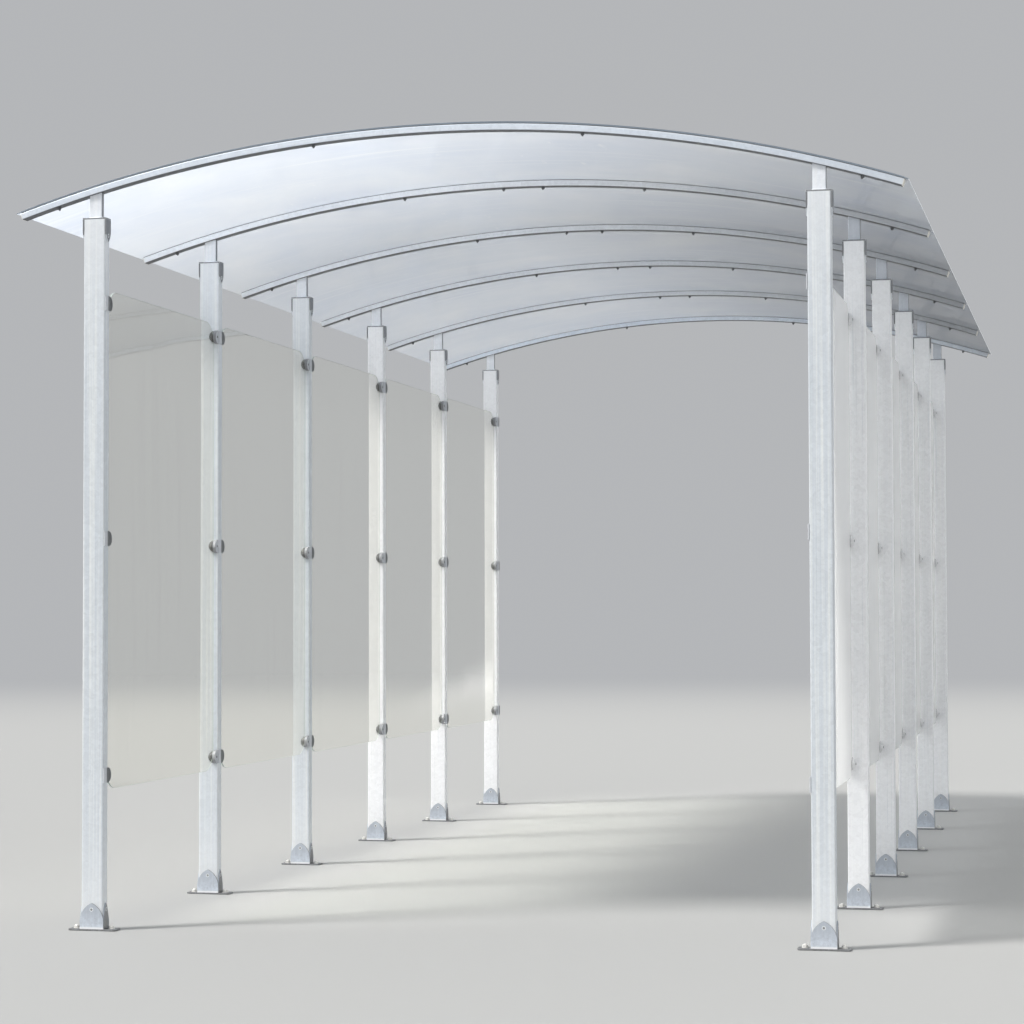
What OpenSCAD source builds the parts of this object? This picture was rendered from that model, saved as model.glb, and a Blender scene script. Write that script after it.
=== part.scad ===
// Open-ended arched shelter. Portal frames of galvanised tube stand in a row on bolted base shoes.
// Curved clear sheets form the roof, and clear panels with round corners close the two long sides.
// The frames run along Y, the shelter is crossed in X, and the ground is z = 0.

/* [Layout] */
// Number of bays between the frames
bays = 5; // [1:1:6]
// Distance between neighbouring frames
bay_pitch = 1050; // [700:10:1400]
// Distance between the centres of the two rows of posts
row_span = 2250; // [1500:10:3600]
// Height of the top of the post heads above the ground
head_top = 2205; // [1800:5:2800]

/* [Posts] */
// Width of a post across the shelter
post_w = 70; // [50:5:90]
// Depth of a post along the shelter
post_d = 40; // [30:5:80]
// Wall of the post tube
post_wall = 3; // [2:0.5:5]
// Outer corner radius of the post tube
post_corner = 5; // [3:0.5:8]

/* [Base shoes] */
// Length of a base plate across the shelter
plate_l = 155; // [150:5:220]
// How far a base plate reaches past the front and back tabs
plate_margin = 1; // [0:1:60]
// Thickness of a base plate
plate_t = 5; // [5:1:15]
// Corner radius of a base plate
plate_corner = 8; // [2:1:15]
// Distance between the two anchor holes of a base plate
anchor_spacing = 114; // [114:1:130]
// Diameter of an anchor hole
anchor_hole_d = 12; // [8:1:14]
// Height of the pointed tabs above the base plate
shoe_tab_h = 80; // [65:5:120]
// Height of the straight sides of a shoe tab, below its pointed top
shoe_tab_straight = 22; // [5:1:35]
// Thickness of the tabs on the shoes
shoe_tab_t = 4; // [2:0.5:6]

/* [Post heads] */
// Thickness of the plate that caps a post
cap_t = 5; // [3:1:10]
// Length of the pointed ears below the cap plate
ear_h = 70; // [50:5:110]
// Length of the straight sides of an ear, above its pointed end
ear_straight = 34; // [5:1:40]
// Thickness of an ear
ear_t = 4; // [2:0.5:6]
// Height of the stub tube above the cap plate, at its middle
stub_rise = 74; // [50:1:200]
// Width of the stub tube across the shelter
stub_w = 40; // [25:5:60]
// Depth of the stub tube along the shelter
stub_d = 20; // [15:5:40]
// Wall of the stub tube
stub_wall = 2.5; // [1.5:0.5:4]
// Outer corner radius of the stub tube
stub_corner = 3; // [2:0.5:5]

/* [Arches] */
// Radius of the underside of an arch
arch_r = 4400; // [3200:50:6500]
// How far an arch reaches past the centres of the posts
arch_overhang = 240; // [100:5:500]
// Height of the arch tube
beam_h = 20; // [15:5:50]
// Depth of the arch tube along the shelter
beam_d = 40; // [30:5:80]
// Wall of the arch tube
beam_wall = 2; // [1.5:0.5:4]
// Outer corner radius of the arch tube
beam_corner = 3; // [2.5:0.5:5]
// Thickness of the flange of an end plug
plug_t = 2; // [1:0.5:5]
// Length of an end plug inside the arch tube
plug_l = 14; // [8:1:30]
// Room between an end plug and the tube wall
plug_clearance = 0.2; // [0.1:0.05:0.4]

/* [Roof] */
// Thickness of a roof sheet
sheet_t = 3; // [2:0.5:8]
// Gap between neighbouring roof sheets, over an arch
sheet_gap = 6; // [2:1:12]
// How far a roof sheet reaches past the ends of the arches
sheet_overhang = 12; // [0:1:60]
// Thickness of the rubber seal between an arch and the sheets
seal_t = 1.5; // [1:0.5:4]
// Width of the rubber seal
seal_w = 36; // [20:1:60]
// Thickness of the cover strip that clamps the sheets down
strip_t = 2; // [1.5:0.5:5]
// Width of a cover strip
strip_w = 40; // [30:1:80]

/* [Side panels] */
// Height of the lower edge of the side panels above the ground
panel_bottom = 430; // [150:5:700]
// Distance from the top of a side panel up to the top of the post heads
panel_top_gap = 220; // [100:5:500]
// Thickness of a side panel
panel_t = 6; // [4:1:12]
// Corner radius of a side panel
panel_corner = 80; // [20:5:90]
// Gap between a side panel and the posts beside it
panel_gap = 12; // [8:1:20]
// How far a side panel is set back from the inner face of the posts
panel_setback = 12; // [2:1:20]

/* [Panel clamps] */
// Number of clamps on each edge of a side panel
clamp_rows = 3; // [2:1:4]
// Height of a clamp
clamp_h = 46; // [36:1:70]
// Length of a clamp from the post to its round end
clamp_l = 28; // [24:1:80]
// Thickness of a clamp cheek on each side of the panel
cheek_t = 12; // [7:1:16]
// Radius of a clamp's rounded outer side, seen along the row of posts
clamp_r = 25; // [20:1:40]
// Distance from a panel's upper or lower edge to the middle of the nearest clamp
clamp_inset = 46; // [30:1:120]
// Thickness of the strap that crosses the inner face of a post
strap_t = 4; // [2:0.5:6]

/* [Hidden] */
$fn = 96;
frames = bays + 1;
plate_w = post_d + 2 * (shoe_tab_t + plate_margin);
centre_x = row_span / 2;
arch_centre_z = head_top + stub_rise - sqrt(arch_r * arch_r - centre_x * centre_x);
beam_half_angle = asin((centre_x + arch_overhang) / arch_r);
sheet_half_angle = asin((centre_x + arch_overhang + sheet_overhang) / arch_r);
seal_r = arch_r + beam_h;
sheet_r = seal_r + seal_t;
strip_r = sheet_r + sheet_t;
panel_l = bay_pitch - post_d - 2 * panel_gap;
panel_h = head_top - panel_top_gap - panel_bottom;
inner_face_x = centre_x - post_w / 2;
panel_x = inner_face_x + panel_setback;
jaw_t = panel_t + 2 * cheek_t;
clamp_z0 = panel_bottom + clamp_inset;
clamp_step = (panel_h - 2 * clamp_inset) / (clamp_rows - 1);
// Extra length of a cutting shape past what it cuts
past = 1;

SIDES = ["left", "right"];

// Place of frame i along the shelter, frame 1 being the front one
function frame_y(i) = (i - 1 - bays / 2) * bay_pitch;

// Corner radius inside a tube, which is never quite sharp
function inner_corner(r, wall) = max(r - wall, 0.5);

// Height of the middle of clamp k on a panel's edge
function clamp_z(k) = clamp_z0 + (k - 1) * clamp_step;

// Draws the right-hand piece as it is, and the left-hand one mirrored
module on_side(side) {
    if (side == "left") mirror([1, 0, 0]) children();
    else children();
}

// Rectangle with round corners, centred
module rounded_rect(w, d, r) {
    square([w - 2 * r, d], center = true);
    square([w, d - 2 * r], center = true);
    for (x = [-1, 1], y = [-1, 1])
        translate([x * (w / 2 - r), y * (d / 2 - r)]) circle(r = r);
}

// Section of a rectangular tube with round corners
module tube_section(w, d, wall, r) {
    difference() {
        rounded_rect(w, d, r);
        rounded_rect(w - 2 * wall, d - 2 * wall, inner_corner(r, wall));
    }
}

// Pointed arch on straight sides: two arcs that start upright and meet over the middle
module pointed_tab(w, straight, h) {
    rise = h - straight;
    offset_x = (rise * rise - w * w / 4) / w;
    arc_r = offset_x + w / 2;
    translate([-w / 2, 0]) square([w, straight]);
    intersection() {
        translate([-w / 2, straight]) square([w, rise]);
        translate([-offset_x, straight]) circle(r = arc_r, $fn = 180);
        translate([offset_x, straight]) circle(r = arc_r, $fn = 180);
    }
}

// Carries a profile round the arch: x is the height above radius r, y runs along the shelter
module along_arch(r, half_angle) {
    translate([0, 0, arch_centre_z])
        rotate([90, 0, 0])
            rotate([0, 0, 90 - half_angle])
                rotate_extrude(angle = 2 * half_angle, $fn = 360)
                    translate([r, 0]) children();
}

// Flat strip of a given width bent round the arch over frame i
module arch_strip(i, r, w, t, half_angle) {
    translate([0, frame_y(i), 0])
        along_arch(r, half_angle)
            translate([0, -w / 2]) square([t, w]);
}

// Puts a piece, drawn across the tube and looking outwards along +Z, on the right end of an arch
module at_arch_end() {
    translate([0, 0, arch_centre_z])
        rotate([0, beam_half_angle, 0])
            translate([0, 0, arch_r + beam_h / 2])
                rotate([0, 90, 0]) children();
}

module post(side, i) {
    color([0.82, 0.84, 0.86])
        on_side(side)
            translate([centre_x, frame_y(i), plate_t])
                linear_extrude(head_top - cap_t - plate_t)
                    tube_section(post_w, post_d, post_wall, post_corner);
}

module base_shoe() {
    difference() {
        linear_extrude(plate_t) rounded_rect(plate_l, plate_w, plate_corner);
        for (x = [-1, 1])
            translate([x * anchor_spacing / 2, 0, -past])
                cylinder(d = anchor_hole_d, h = plate_t + 2 * past);
    }
    // Front and back tabs are as wide as the whole shoe, the tabs beside the post fit between them
    for (turn = [0, 180])
        rotate([0, 0, turn])
            translate([0, post_d / 2 + shoe_tab_t, plate_t])
                rotate([90, 0, 0])
                    linear_extrude(shoe_tab_t)
                        pointed_tab(post_w + 2 * shoe_tab_t, shoe_tab_straight, shoe_tab_h);
    for (turn = [0, 180])
        rotate([0, 0, turn])
            translate([post_w / 2, 0, plate_t])
                rotate([90, 0, 90])
                    linear_extrude(shoe_tab_t)
                        pointed_tab(post_d, shoe_tab_straight, shoe_tab_h);
}

module base_shoes(side) {
    color([0.70, 0.74, 0.79])
        on_side(side)
            for (i = [1:frames])
                translate([centre_x, frame_y(i), 0]) base_shoe();
}

// Stub tube that rises from the cap plate and is cut to the curve of the arch
module head_stub() {
    intersection() {
        translate([centre_x, 0, head_top])
            linear_extrude(stub_rise + stub_w)
                tube_section(stub_w, stub_d, stub_wall, stub_corner);
        translate([0, stub_d, arch_centre_z])
            rotate([90, 0, 0]) cylinder(r = arch_r, h = 2 * stub_d, $fn = 360);
    }
}

module head_bracket() {
    translate([centre_x, 0, head_top - cap_t / 2])
        cube([post_w + 2 * ear_t, post_d, cap_t], center = true);
    for (x = [-ear_t - post_w / 2, post_w / 2])
        translate([centre_x + x, 0, head_top - cap_t])
            rotate([-90, 0, 90])
                mirror([0, 0, 1])
                    linear_extrude(ear_t) pointed_tab(post_d, ear_straight, ear_h);
    head_stub();
}

module head_brackets(side) {
    color([0.76, 0.79, 0.83])
        on_side(side)
            for (i = [1:frames])
                translate([0, frame_y(i), 0]) head_bracket();
}

module arch_beam(i) {
    color([0.78, 0.83, 0.89])
        translate([0, frame_y(i), 0])
            along_arch(arch_r + beam_h / 2, beam_half_angle)
                tube_section(beam_h, beam_d, beam_wall, beam_corner);
}

// Flange over the end of the tube, with a plug that fits inside it
module end_plug() {
    margin = beam_wall + plug_clearance;
    linear_extrude(plug_t) rounded_rect(beam_h, beam_d, beam_corner);
    translate([0, 0, -plug_l])
        linear_extrude(plug_l)
            rounded_rect(beam_h - 2 * margin, beam_d - 2 * margin, inner_corner(beam_corner, beam_wall));
}

module arch_end_plugs() {
    color([0.86, 0.86, 0.84])
        for (side = SIDES, i = [1:frames])
            on_side(side)
                translate([0, frame_y(i), 0])
                    at_arch_end() end_plug();
}

module roof_seals() {
    color([0.18, 0.18, 0.19])
        for (i = [1:frames])
            arch_strip(i, seal_r, seal_w, seal_t, beam_half_angle);
}

// Sheets meet over the arches between them, and end flush with the outer arches
module roof_sheet(i) {
    y0 = i == 1 ? frame_y(1) - beam_d / 2 : frame_y(i) + sheet_gap / 2;
    y1 = i == bays ? frame_y(i + 1) + beam_d / 2 : frame_y(i + 1) - sheet_gap / 2;
    color([0.85, 0.90, 0.95, 0.4])
        translate([0, y1, 0])
            along_arch(sheet_r, sheet_half_angle)
                square([sheet_t, y1 - y0]);
}

module roof_cover_strips() {
    color([0.72, 0.74, 0.77])
        for (i = [1:frames])
            arch_strip(i, strip_r, strip_w, strip_t, beam_half_angle);
}

module side_panel(side, i) {
    color([0.85, 0.92, 0.92, 0.4])
        on_side(side)
            translate([panel_x, frame_y(i) + bay_pitch / 2, panel_bottom + panel_h / 2])
                rotate([90, 0, 90])
                    linear_extrude(panel_t) rounded_rect(panel_l, panel_h, panel_corner);
}

// Flat strap between the two clamps of a post, against the post's inner face
module clamp_straps(side) {
    color([0.62, 0.64, 0.66])
        on_side(side)
            for (i = [1:frames], k = [1:clamp_rows])
                translate([inner_face_x - strap_t / 2, frame_y(i), clamp_z(k)])
                    cube([strap_t, post_d, clamp_h], center = true);
}

// Letter D lying on its side: straight at the foot and half a circle at the outer end
module d_outline(l, h) {
    intersection() {
        translate([0, -h / 2]) square([l, h]);
        union() {
            translate([-h, -h / 2]) square([l + h / 2, h]);
            translate([l - h / 2, 0]) circle(d = h);
        }
    }
}

// D-shaped jaw: a flat foot on the post, a round end, a rounded outer side and a slot for the panel's edge
module clamp_jaw() {
    difference() {
        intersection() {
            rotate([90, 0, 90])
                linear_extrude(jaw_t) d_outline(clamp_l, clamp_h);
            translate([jaw_t - clamp_r, 0, 0])
                rotate([-90, 0, 0])
                    cylinder(r = clamp_r, h = clamp_l);
        }
        translate([cheek_t, panel_gap, -clamp_h])
            cube([panel_t, clamp_l, 2 * clamp_h]);
    }
}

// Each post has a jaw towards every bay beside it
module clamp_jaws(side) {
    color([0.50, 0.51, 0.53])
        on_side(side)
            for (i = [1:bays], k = [1:clamp_rows])
                translate([panel_x - cheek_t, frame_y(i) + bay_pitch / 2, clamp_z(k)])
                    for (end = [0, 1])
                        mirror([0, end, 0])
                            translate([0, (post_d - bay_pitch) / 2, 0]) clamp_jaw();
}

for (side = SIDES, i = [1:frames])
    post(side, i);
for (side = SIDES)
    base_shoes(side);
for (side = SIDES)
    head_brackets(side);
for (i = [1:frames])
    arch_beam(i);
arch_end_plugs();
roof_seals();
for (i = [1:bays])
    roof_sheet(i);
roof_cover_strips();
for (side = SIDES, i = [1:bays])
    side_panel(side, i);
for (side = SIDES)
    clamp_straps(side);
for (side = SIDES)
    clamp_jaws(side);
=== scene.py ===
import math
import bpy
import numpy as np
from mathutils import Matrix, Vector


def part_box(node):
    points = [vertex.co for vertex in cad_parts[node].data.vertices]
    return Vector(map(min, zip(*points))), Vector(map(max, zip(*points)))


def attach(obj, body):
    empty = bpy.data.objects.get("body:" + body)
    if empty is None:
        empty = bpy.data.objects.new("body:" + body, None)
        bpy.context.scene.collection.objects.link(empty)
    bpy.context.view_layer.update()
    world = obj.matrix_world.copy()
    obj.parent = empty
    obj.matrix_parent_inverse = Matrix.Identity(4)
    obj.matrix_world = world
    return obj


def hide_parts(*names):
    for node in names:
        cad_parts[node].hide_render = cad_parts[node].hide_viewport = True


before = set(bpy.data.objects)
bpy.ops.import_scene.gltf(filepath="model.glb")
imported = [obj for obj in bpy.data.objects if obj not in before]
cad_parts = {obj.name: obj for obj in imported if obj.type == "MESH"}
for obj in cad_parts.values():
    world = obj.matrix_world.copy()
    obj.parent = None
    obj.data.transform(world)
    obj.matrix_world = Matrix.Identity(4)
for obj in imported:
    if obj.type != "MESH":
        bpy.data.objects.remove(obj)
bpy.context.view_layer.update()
print("frame loaded:", len(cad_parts), "nodes")

mm = 0.001
creaseAngle = math.radians(38)  # edges that turn more than this stay sharp, or take the bevel
squareOn = 0.95  # share of a face's normal along an axis from which the face is square to it
sides = {"left": -1, "right": 1}
upAxis = np.array([0.0, 0.0, 1.0])
alongAxis = np.array([0.0, 1.0, 0.0])

# What the frame says about the layout
postLow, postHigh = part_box("post_right_1")
panelLow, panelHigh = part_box("side_panel_right_1")
frameCount = sum(name.startswith("arch_beam_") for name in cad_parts)
frameYs = [sum(c.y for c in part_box(f"arch_beam_{i}")) / 2 for i in range(1, frameCount + 1)]
bayPitch = frameYs[1] - frameYs[0]
frontLimit = frameYs[0] + 0.1  # what lies before this belongs to the first frame
postX = (postLow.x + postHigh.x) / 2
postWidth = postHigh.x - postLow.x
postDepth = postHigh.y - postLow.y

# The arches' curve, which the roof and the post heads follow. Its radius is that of the underside.
arch = {"radius": 4400 * mm, "height": 20 * mm, "depth": 40 * mm, "corner": 3 * mm, "steps": 96,
        "overhang": 240 * mm}
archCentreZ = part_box("arch_beam_1")[1].z - arch["radius"] - arch["height"]
archHalfAngle = math.asin((postX + arch["overhang"]) / arch["radius"])

# The camera's place and angle, as in the photograph
camera = {"lens": 90.77, "sensor": 36.0, "place": (1.941, -10.133, 0.982), "yawLeft": 13.05,
          "pitchUp": 2.18, "roll": -0.14}


def addToScene(name, data):
    thing = bpy.data.objects.new(name, data)
    bpy.context.scene.collection.objects.link(thing)
    return thing


def makeCamera():
    data = bpy.data.cameras.new("photoCamera")
    data.lens = camera["lens"]
    data.sensor_width = camera["sensor"]
    eye = addToScene("photoCamera", data)
    eye.location = camera["place"]
    turn = Matrix.Rotation(math.radians(camera["yawLeft"]), 4, "Z")
    tilt = Matrix.Rotation(math.radians(90 + camera["pitchUp"]), 4, "X")
    spin = Matrix.Rotation(math.radians(camera["roll"]), 4, "Z")
    eye.rotation_euler = (turn @ tilt @ spin).to_euler()
    bpy.context.scene.camera = eye


# Surface building blocks: a part is an array of points and a list of faces

def roundedLoop(width, depth, radius, steps):
    # Rectangle with round corners: corner k is a quarter circle that starts at k quarter turns
    corner = np.arange(4)[:, None]
    angle = (corner + np.linspace(0, 1, steps + 1)[None, :]) * np.pi / 2
    signs = np.array([[1, 1], [-1, 1], [-1, -1], [1, -1]])
    centres = signs * (np.array([width, depth]) / 2 - radius)
    arcs = radius * np.stack([np.cos(angle), np.sin(angle)], -1)
    return (centres[:, None] + arcs).reshape(-1, 2)


def circleLoop(radius, steps):
    # Point j = radius times the cosine and sine of j steps of the full turn
    angle = np.arange(steps) / steps * 2 * np.pi
    return np.stack([radius * np.cos(angle), radius * np.sin(angle)], -1)


def pointedLoop(width, straight, height, steps):
    # Pointed arch on straight sides: two arcs that start upright and meet over the middle.
    # An arc's radius is half the width plus the offset of its centre past the middle.
    rise = height - straight
    offset = (rise * rise - width * width / 4) / width
    sweepAngle = math.atan2(rise, offset)
    angle = np.linspace(0, sweepAngle, steps)
    x = -offset + (offset + width / 2) * np.cos(angle)
    y = straight + (offset + width / 2) * np.sin(angle)
    right = np.stack([x, y], -1)
    left = np.stack([-x[-2::-1], y[-2::-1]], -1)
    return np.vstack([[width / 2, 0], right, left, [-width / 2, 0]])


def halfRoundLoop(length, height, steps):
    # Letter D lying on its side: straight from the foot, then half a circle of the full height
    angle = np.linspace(-np.pi / 2, np.pi / 2, steps)
    x = length - height / 2 + height / 2 * np.cos(angle)
    y = height / 2 * np.sin(angle)
    return np.vstack([[0, -height / 2], np.stack([x, y], -1), [0, height / 2]])


def skin(rings):
    # Joins ring i to ring i + 1 point by point, and closes the first and the last ring
    count, size = rings.shape[:2]
    i, j = np.meshgrid(np.arange(count - 1), np.arange(size), indexing="ij")
    after = (j + 1) % size
    quads = np.stack([i * size + j, i * size + after, (i + 1) * size + after, (i + 1) * size + j], -1)
    faces = quads.reshape(-1, 4).tolist()
    faces.append(list(range(size))[::-1])
    faces.append(list(range((count - 1) * size, count * size)))
    return rings.reshape(-1, 3), faces


def sweep(loops, origins, u, v):
    # Point (i, j) = origin i + x of loop point j along u + y of loop point j along v.
    # The loops turn anticlockwise about u x v, which is the way the path runs.
    count = len(origins)
    loops = np.broadcast_to(loops, (count,) + np.shape(loops)[-2:])
    u = np.broadcast_to(u, (count, 3))
    v = np.broadcast_to(v, (count, 3))
    origins = np.asarray(origins, float)
    return skin(origins[:, None] + loops[:, :, :1] * u[:, None] + loops[:, :, 1:] * v[:, None])


def prism(loop, origin, u, v, thickness):
    # The loop carried straight along u x v by the thickness
    u, v = np.asarray(u, float), np.asarray(v, float)
    origin = np.asarray(origin, float)
    return sweep(loop, [origin, origin + np.cross(u, v) * thickness], u, v)


def turned(radii, heights, steps):
    # Point (i, j) = radius i at angle j, at height i
    loops = np.array([circleLoop(r, steps) for r in radii])
    origins = np.asarray(heights, float)[:, None] * upAxis
    return sweep(loops, origins, (1, 0, 0), (0, 1, 0))


def standOn(part, spot, axis):
    # Turns a part whose own axis is +Z so that it points along the axis, and moves it to the spot
    w = np.asarray(axis, float) / np.linalg.norm(axis)
    helper = alongAxis if abs(w[1]) < 0.9 else np.array([1.0, 0.0, 0.0])
    u = np.cross(helper, w)
    u /= np.linalg.norm(u)
    basis = np.stack([u, np.cross(w, u), w])
    points, faces = part
    return points @ basis + np.asarray(spot, float), faces


def shifted(part, offset):
    return part[0] + np.asarray(offset, float), part[1]


def turnedRound(part):
    # The same part with x turned round, and its faces turned over with it
    points, faces = part
    return points * np.array([-1.0, 1.0, 1.0]), [face[::-1] for face in faces]


def onSide(part, side):
    # Parts are drawn for the right-hand row, and turned round for the left-hand one
    return part if side == "right" else turnedRound(part)


def faceNormals(points, faces):
    # Cross product of two chords of each face, scaled to length one
    first = np.array([points[f[0]] for f in faces])
    second = np.array([points[f[len(f) // 4 + 1]] for f in faces])
    third = np.array([points[f[len(f) // 2 + 1]] for f in faces])
    normals = np.cross(second - first, third - first)
    return normals / np.maximum(np.linalg.norm(normals, axis=1, keepdims=True), 1e-12)


def faceCentres(points, faces):
    return np.array([points[f].mean(axis=0) for f in faces])


def facing(points, faces, axis, least=squareOn):
    # Faces that look along axis 0, 1 or 2, either way: by more than this share of their normal
    return np.abs(faceNormals(points, faces)[:, axis]) > least


def spreadOver(depths, faces, least):
    # Faces whose points lie at different depths: further apart than this
    return np.array([np.ptp(depths[f]) > least for f in faces])


def makePiece(name, parts, material, stands=(), bevel=None, flat=None, others=()):
    # Joins the parts to one mesh. flat gives each point its place on the unrolled surface.
    # others holds pairs of a further material and the function that picks its faces.
    points = np.concatenate([p for p, _ in parts])
    starts = np.cumsum([0] + [len(p) for p, _ in parts])
    faces = [[start + k for k in face] for start, (_, fs) in zip(starts, parts) for face in fs]
    mesh = bpy.data.meshes.new(name)
    mesh.from_pydata(points.tolist(), [], faces)
    mesh.polygons.foreach_set("use_smooth", np.ones(len(faces), bool))
    if flat is not None:
        layer = mesh.attributes.new("unrolled", "FLOAT_VECTOR", "POINT")
        layer.data.foreach_set("vector", flat(points).astype(np.float32).ravel())
    mesh.set_sharp_from_angle(angle=creaseAngle)
    mesh.materials.append(material)
    slots = np.zeros(len(faces), np.int32)
    for k, (other, picks) in enumerate(others, 1):
        mesh.materials.append(other)
        slots[picks(points, faces)] = k
    mesh.polygons.foreach_set("material_index", slots)
    piece = addToScene(name, mesh)
    if bevel:
        softened = piece.modifiers.new("softened", "BEVEL")
        softened.width = bevel
        softened.segments = 3
        softened.limit_method = "ANGLE"
        softened.angle_limit = creaseAngle
        softened.harden_normals = True
    else:
        evened = piece.modifiers.new("evened", "WEIGHTED_NORMAL")
        evened.keep_sharp = True
    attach(piece, "root")
    if stands:
        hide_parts(*stands)
    return piece


# Shader helpers and node groups

def feed(tree, node, inputs):
    # An input is another node's output or a value, and a colour is given without its alpha
    for key, value in inputs.items():
        socket = node.inputs[key]
        if isinstance(value, bpy.types.NodeSocket):
            tree.links.new(value, socket)
        else:
            socket.default_value = (*value, 1) if socket.type == "RGBA" else value


def place(tree, kind, inputs=None, **settings):
    node = tree.nodes.new("ShaderNode" + kind)
    for key, value in settings.items():
        setattr(node, key, value)
    feed(tree, node, inputs or {})
    return node


def blend(tree, factor, first, second, way="MIX"):
    # The colour sockets of a Mix node are its inputs 6 and 7 and its output 2
    node = place(tree, "Mix", {0: factor, 6: first, 7: second}, data_type="RGBA", blend_type=way)
    return node.outputs[2]


def mixed(tree, share, first, second):
    return place(tree, "MixShader", {0: share, 1: first, 2: second}).outputs[0]


def axes(tree, vector):
    return place(tree, "SeparateXYZ", {0: vector}).outputs


def noise(tree, vector, scale, detail, roughness=0.5, distortion=0.0, seed=None):
    inputs = {"Vector": vector, "Scale": scale, "Detail": detail, "Roughness": roughness,
              "Distortion": distortion}
    if seed is None:
        return place(tree, "TexNoise", inputs).outputs[0]
    return place(tree, "TexNoise", {**inputs, "W": seed}, noise_dimensions="4D").outputs[0]


def remap(tree, value, low, high, newLow=0.0, newHigh=1.0, curve="LINEAR"):
    inputs = {"Value": value, "From Min": low, "From Max": high, "To Min": newLow, "To Max": newHigh}
    return place(tree, "MapRange", inputs, interpolation_type=curve).outputs[0]


def combine(tree, operation, a, b):
    return place(tree, "Math", {0: a, 1: b}, operation=operation).outputs[0]


def times(tree, a, b):
    return combine(tree, "MULTIPLY", a, b)


def startGroup(name, inputs, outputs):
    group = bpy.data.node_groups.new(name, "ShaderNodeTree")
    for label, value in inputs.items():
        kind = "NodeSocketVector" if value is None else "NodeSocketFloat"
        socket = group.interface.new_socket(label, in_out="INPUT", socket_type=kind)
        if value is not None:
            socket.default_value = value
    for label in outputs:
        group.interface.new_socket(label, in_out="OUTPUT", socket_type="NodeSocketFloat")
    entry = group.nodes.new("NodeGroupInput").outputs
    leave = group.nodes.new("NodeGroupOutput").inputs
    return group, entry, leave


def useGroup(tree, group, inputs):
    node = tree.nodes.new("ShaderNodeGroup")
    node.node_tree = group
    feed(tree, node, inputs)
    return node.outputs


# The fine crystals are this many times finer, and the large ones make up this share of the tone
crystal = {"finer": 2.6, "largeShare": 0.6}


def makeSpangleGroup():
    # Zinc crystals: flat cells of slightly different tone, with finer cells between the large ones
    inputs = {"Vector": None, "Size": 0.012, "Contrast": 0.5}
    group, entry, leave = startGroup("zincSpangle", inputs, ["Tone", "Height"])
    scale = combine(group, "DIVIDE", 1.0, entry["Size"])
    large = place(group, "TexVoronoi", {"Vector": entry["Vector"], "Scale": scale, "Randomness": 1.0})
    fineScale = times(group, scale, crystal["finer"])
    fine = place(group, "TexVoronoi", {"Vector": entry["Vector"], "Scale": fineScale})
    largeTone = place(group, "SeparateColor", {0: large.outputs["Color"]}).outputs[0]
    fineTone = place(group, "SeparateColor", {0: fine.outputs["Color"]}).outputs[1]
    both = combine(group, "ADD", times(group, largeTone, crystal["largeShare"]),
                   times(group, fineTone, 1 - crystal["largeShare"]))
    tone = times(group, combine(group, "SUBTRACT", both, 0.5), entry["Contrast"])
    group.links.new(combine(group, "ADD", tone, 0.5), leave["Tone"])
    group.links.new(large.outputs["Distance"], leave["Height"])
    return group


def makeStreakGroup():
    # Run marks: noise squeezed along the way that water runs, with the soft patches that hold it
    inputs = {"Vector": None, "Across": 40.0, "Along": 1.6, "Least": 0.5, "Most": 0.75, "Seed": 0.0}
    group, entry, leave = startGroup("runMarks", inputs, ["Mask", "Patches"])
    parts = axes(group, entry["Vector"])
    scaled = {k: times(group, parts[k], entry[way]) for k, way in enumerate(["Across", "Across", "Along"])}
    squeezed = place(group, "CombineXYZ", scaled).outputs[0]
    marks = noise(group, squeezed, scale=1.0, detail=4.0, roughness=0.6, seed=entry["Seed"])
    mask = remap(group, marks, entry["Least"], entry["Most"], curve="SMOOTHSTEP")
    group.links.new(mask, leave["Mask"])
    patches = noise(group, entry["Vector"], scale=2.3, detail=3.0, seed=entry["Seed"])
    group.links.new(patches, leave["Patches"])
    return group


def makeSplashGroup():
    # Splashed dirt from the ground, and on the shoes a painted highlight: strongest at the foot, broken by
    # noise
    inputs = {"Vector": None, "Reach": 0.25, "Amount": 0.6}
    group, entry, leave = startGroup("groundSplashAndHighlight", inputs, ["Mask"])
    share = combine(group, "DIVIDE", axes(group, entry["Vector"])[2], entry["Reach"])
    fade = remap(group, share, 1.0, 0.0, curve="SMOOTHERSTEP")
    specks = noise(group, entry["Vector"], scale=90.0, detail=6.0, roughness=0.7)
    broken = times(group, fade, remap(group, specks, low=0.35, high=0.7))
    group.links.new(times(group, broken, entry["Amount"]), leave["Mask"])
    return group


def makeEdgeGroup():
    # Edge wear and painted highlight: brighter where the surface turns sharply outwards, broken up by fine
    # noise
    inputs = {"Vector": None, "Least": 0.51, "Most": 0.57, "Break": 0.4}
    group, entry, leave = startGroup("edgeWearAndHighlight", inputs, ["Mask"])
    sharp = place(group, "NewGeometry").outputs["Pointiness"]
    turnedOut = remap(group, sharp, entry["Least"], entry["Most"])
    specks = noise(group, entry["Vector"], scale=260.0, detail=4.0)
    kept = combine(group, "SUBTRACT", 1.0, times(group, specks, entry["Break"]))
    group.links.new(times(group, turnedOut, kept), leave["Mask"])
    return group


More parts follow.
